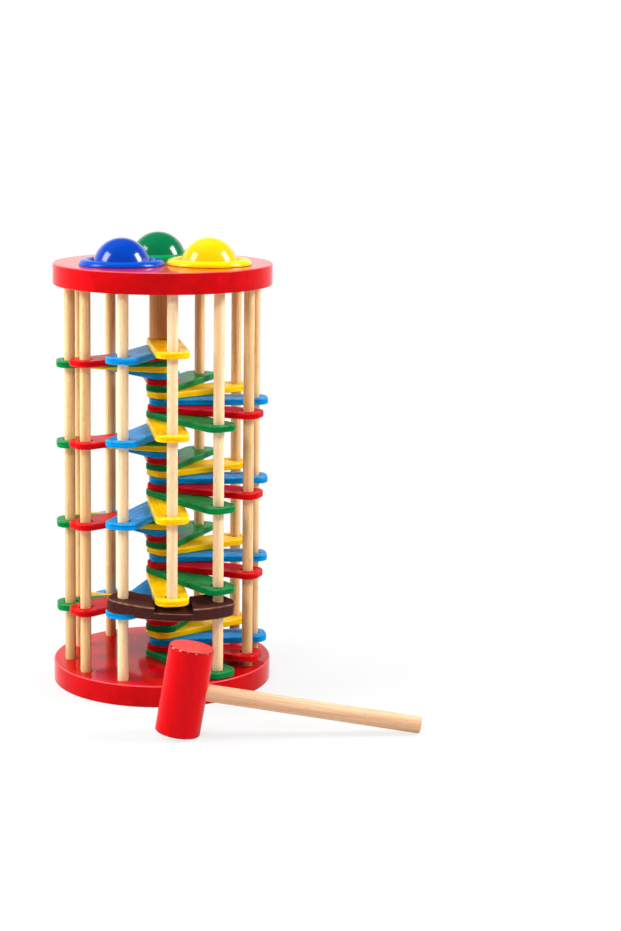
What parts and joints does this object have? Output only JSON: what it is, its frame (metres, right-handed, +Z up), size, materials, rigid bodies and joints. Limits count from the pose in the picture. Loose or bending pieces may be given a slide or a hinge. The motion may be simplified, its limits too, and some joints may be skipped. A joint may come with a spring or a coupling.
{
  "type": "pounding ball tower",
  "caption": "Wooden pounding toy: balls are hit through collars in the top disc, roll down a spiral of coloured steps inside a cage of posts and leave under a bridge; with hammer.",
  "frame": {"origin": "middle of the base disc's underside, on the tower's axis", "axes": "+Z up along the centre post, -Y towards the exit under the bridge, +X to the viewer's right"},
  "size_m": [0.2492, 0.2528, 0.3389],
  "materials": {
    "red_lacquer": "red gloss lacquer on wood",
    "beech": "bare beech, sanded and waxed",
    "yellow_paint": "satin-gloss paint on wood",
    "blue_paint": "satin-gloss paint on wood",
    "red_paint": "satin-gloss paint on wood",
    "green_paint": "satin-gloss paint on wood",
    "brown_paint": "dark brown paint on wood, worn at the edges",
    "blue_collar": "soft glossy plastic",
    "yellow_collar": "soft glossy plastic",
    "green_collar": "soft glossy plastic",
    "blue_ball": "high-gloss lacquer on wood",
    "yellow_ball": "high-gloss lacquer on wood",
    "green_ball": "high-gloss lacquer on wood"
  },
  "bodies": {
    "tower": {"base_disc": "red_lacquer", "top_disc": "red_lacquer", "centre_post": "beech", "bridge": "brown_paint", "collar_blue": "blue_collar", "collar_yellow": "yellow_collar", "collar_green": "green_collar", "post_01": "beech", "post_02": "beech", "post_03": "beech", "post_04": "beech", "post_05": "beech", "post_06": "beech", "post_07": "beech", "post_08": "beech", "post_09": "beech", "post_10": "beech", "post_11": "beech", "post_12": "beech", "step_01": "yellow_paint", "step_02": "blue_paint", "step_03": "red_paint", "step_04": "green_paint", "steps_05_06": "yellow_paint", "steps_07_08": "red_paint", "steps_09_10": "yellow_paint", "step_11": "red_paint", "step_12": "green_paint", "step_13": "yellow_paint", "step_14": "blue_paint", "step_15": "red_paint", "step_16": "green_paint", "steps_17_18": "yellow_paint", "steps_19_20": "red_paint", "steps_21_22": "yellow_paint", "step_23": "red_paint", "step_24": "green_paint", "step_25": "yellow_paint", "step_26": "blue_paint", "step_27": "red_paint", "step_28": "green_paint", "steps_29_30": "yellow_paint", "steps_31_32": "red_paint", "steps_33_34": "yellow_paint", "step_35": "red_paint", "step_36": "green_paint", "step_37": "yellow_paint", "step_38": "blue_paint", "step_39": "red_paint", "step_40": "green_paint", "steps_41_42": "yellow_paint", "steps_43_44": "red_paint", "steps_45_46": "yellow_paint", "step_47": "red_paint", "step_48": "green_paint"},
    "blue_ball": {"ball_blue": "blue_ball"},
    "yellow_ball": {"ball_yellow": "yellow_ball"},
    "green_ball": {"ball_green": "green_ball"},
    "hammer": {"hammer_head": "red_lacquer", "hammer_handle": "beech"}
  },
  "joints": [
    {"name": "blue_ball_drop", "type": "slide", "parent": "tower", "child": "blue_ball", "axis": [0, 0, 1], "range_m": [-0.0412, 0.06], "deforming": ["collar_blue"]},
    {"name": "yellow_ball_drop", "type": "slide", "parent": "tower", "child": "yellow_ball", "axis": [0, 0, 1], "range_m": [-0.05, 0.06], "deforming": ["collar_yellow"]},
    {"name": "green_ball_drop", "type": "slide", "parent": "tower", "child": "green_ball", "axis": [0, 0, 1], "range_m": [-0.0613, 0.06], "deforming": ["collar_green"]},
    {"name": "hammer_lift", "type": "slide", "parent": "tower", "child": "hammer", "axis": [0, 0, 1], "range_m": [0, 0.25]}
  ]
}
